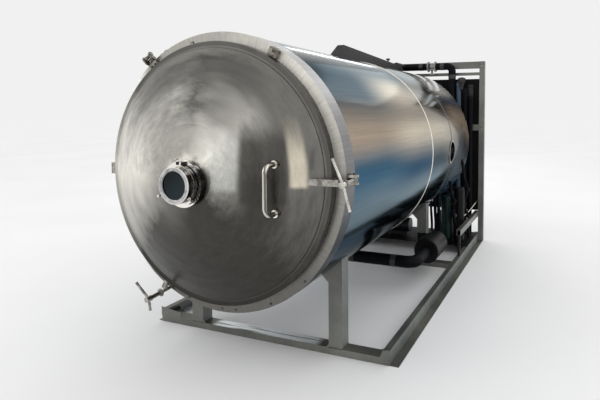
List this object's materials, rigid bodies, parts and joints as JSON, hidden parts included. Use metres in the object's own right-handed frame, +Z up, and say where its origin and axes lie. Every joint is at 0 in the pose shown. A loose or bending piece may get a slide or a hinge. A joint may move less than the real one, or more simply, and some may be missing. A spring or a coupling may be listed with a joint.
{
  "type": "freeze dryer",
  "caption": "Horizontal vacuum freeze dryer: a steel chamber with a dished swing door, sight glass, swing clamps, heated shelves, base frame and refrigeration pipework.",
  "frame": {"origin": "middle of the front beam's underside, on the floor", "axes": "+Z up, +Y along the chamber from its door to its rear, +X to the right as seen from in front of the door"},
  "size_m": [1.86, 3.8173, 2.083],
  "materials": {
    "jacket_steel": "polished stainless sheet",
    "door_steel": "turned with fine rings, bright",
    "flange_steel": "ground",
    "bright_steel": "polished",
    "inner_steel": "satin",
    "coil_steel": "satin",
    "clamp_steel": "machined",
    "pin_steel": "dull",
    "seal_rubber": "matte silicone",
    "foam": "closed-cell foam",
    "frame_grey": "dull bead-blasted",
    "dark_sheet": "matte",
    "black_paint": "satin",
    "pump_paint": "satin",
    "green_paint": "satin",
    "pipe_insulation": "matte foam rubber",
    "duct_black": "satin",
    "valve_metal": "painted grey",
    "sight_glass": "clear, dark behind"
  },
  "bodies": {
    "root": {"chamber_shell": "inner_steel", "front_flange": "flange_steel", "door_gasket": "seal_rubber", "insulation": "foam", "jacket_front": "jacket_steel", "jacket_middle": "jacket_steel", "jacket_rear": "jacket_steel", "seam_bands": "bright_steel", "end_cover": "jacket_steel", "port_frame": "bright_steel", "port_cover": "dark_sheet", "flange_screws": "pin_steel", "clamp_lugs": "clamp_steel", "lug_pins": "pin_steel", "hinge_bracket": "clamp_steel", "hinge_pin": "pin_steel", "shelf_rack": "inner_steel", "heating_shelves": "inner_steel", "fluid_manifold": "inner_steel", "condenser_coil": "coil_steel", "front_beam": "frame_grey", "rear_beam": "frame_grey", "side_rail_left": "frame_grey", "side_rail_right": "frame_grey", "leg_front_left": "frame_grey", "leg_front_right": "frame_grey", "leg_rear_left": "frame_grey", "leg_rear_right": "frame_grey", "corner_gussets": "frame_grey", "portal_post_left": "frame_grey", "portal_post_right": "frame_grey", "portal_top_beam": "frame_grey", "portal_cross_bars": "frame_grey", "rear_panel": "dark_sheet", "side_bars": "frame_grey", "machine_deck": "dark_sheet", "compressor": "black_paint", "vacuum_pump": "pump_paint", "separator_vessel": "green_paint", "accumulator_vessel": "black_paint", "receiver_drum": "black_paint", "drain_pipe": "pipe_insulation", "suction_pipe": "pipe_insulation", "valve_body": "valve_metal", "riser_pipes": "pipe_insulation", "top_duct": "duct_black"},
    "door": {"door_head": "door_steel", "door_ring": "flange_steel", "clamp_lands": "clamp_steel", "door_hinge_leaf": "clamp_steel", "door_handle": "bright_steel", "sight_nozzle": "bright_steel", "sight_glass": "sight_glass"},
    "bolt_right": {"swing_bolt_right": "clamp_steel"},
    "washer_right": {"washer_right": "clamp_steel"},
    "nut_right": {"t_nut_right": "clamp_steel"},
    "bolt_lower": {"swing_bolt_lower": "clamp_steel"},
    "washer_lower": {"washer_lower": "clamp_steel"},
    "nut_lower": {"t_nut_lower": "clamp_steel"},
    "valve_wheel": {"valve_wheel": "valve_metal"}
  },
  "joints": [
    {"name": "door_hinge", "type": "hinge", "parent": "root", "child": "door", "pos_m": [-0.82, -0.392, 1.155], "axis": [0, 0, -1], "range_deg": [0, 115]},
    {"name": "clamp_swing_right", "type": "hinge", "parent": "root", "child": "bolt_right", "pos_m": [0.818, -0.386, 1.155], "axis": [0, 0, 1], "range_deg": [-7, 95]},
    {"name": "washer_travel_right", "type": "slide", "parent": "bolt_right", "child": "washer_right", "axis": [0.1219, -0.9925, 0], "range_m": [0, 0.0075]},
    {"name": "nut_turn_right", "type": "hinge", "parent": "washer_right", "child": "nut_right", "pos_m": [0.818, -0.386, 1.155], "axis": [0.1219, -0.9925, 0], "range_deg": [0, 1080]},
    {"name": "clamp_swing_lower", "type": "hinge", "parent": "root", "child": "bolt_lower", "pos_m": [-0.39657, -0.386, 0.43956], "axis": [0.8746, 0, -0.4848], "range_deg": [-7, 95]},
    {"name": "washer_travel_lower", "type": "slide", "parent": "bolt_lower", "child": "washer_lower", "axis": [-0.0591, -0.9925, -0.1066], "range_m": [0, 0.0075]},
    {"name": "nut_turn_lower", "type": "hinge", "parent": "washer_lower", "child": "nut_lower", "pos_m": [-0.39657, -0.386, 0.43956], "axis": [-0.0591, -0.9925, -0.1066], "range_deg": [0, 1080]},
    {"name": "valve_turn", "type": "hinge", "parent": "root", "child": "valve_wheel", "pos_m": [0.345, 2.902, 2.005], "axis": [0, 0, 1], "range_deg": [0, 1080]}
  ],
  "couplings": [
    {"joint": "washer_travel_right", "follows": "nut_turn_right", "m_per_rad": 0.00039789},
    {"joint": "washer_travel_lower", "follows": "nut_turn_lower", "m_per_rad": 0.00039789}
  ]
}
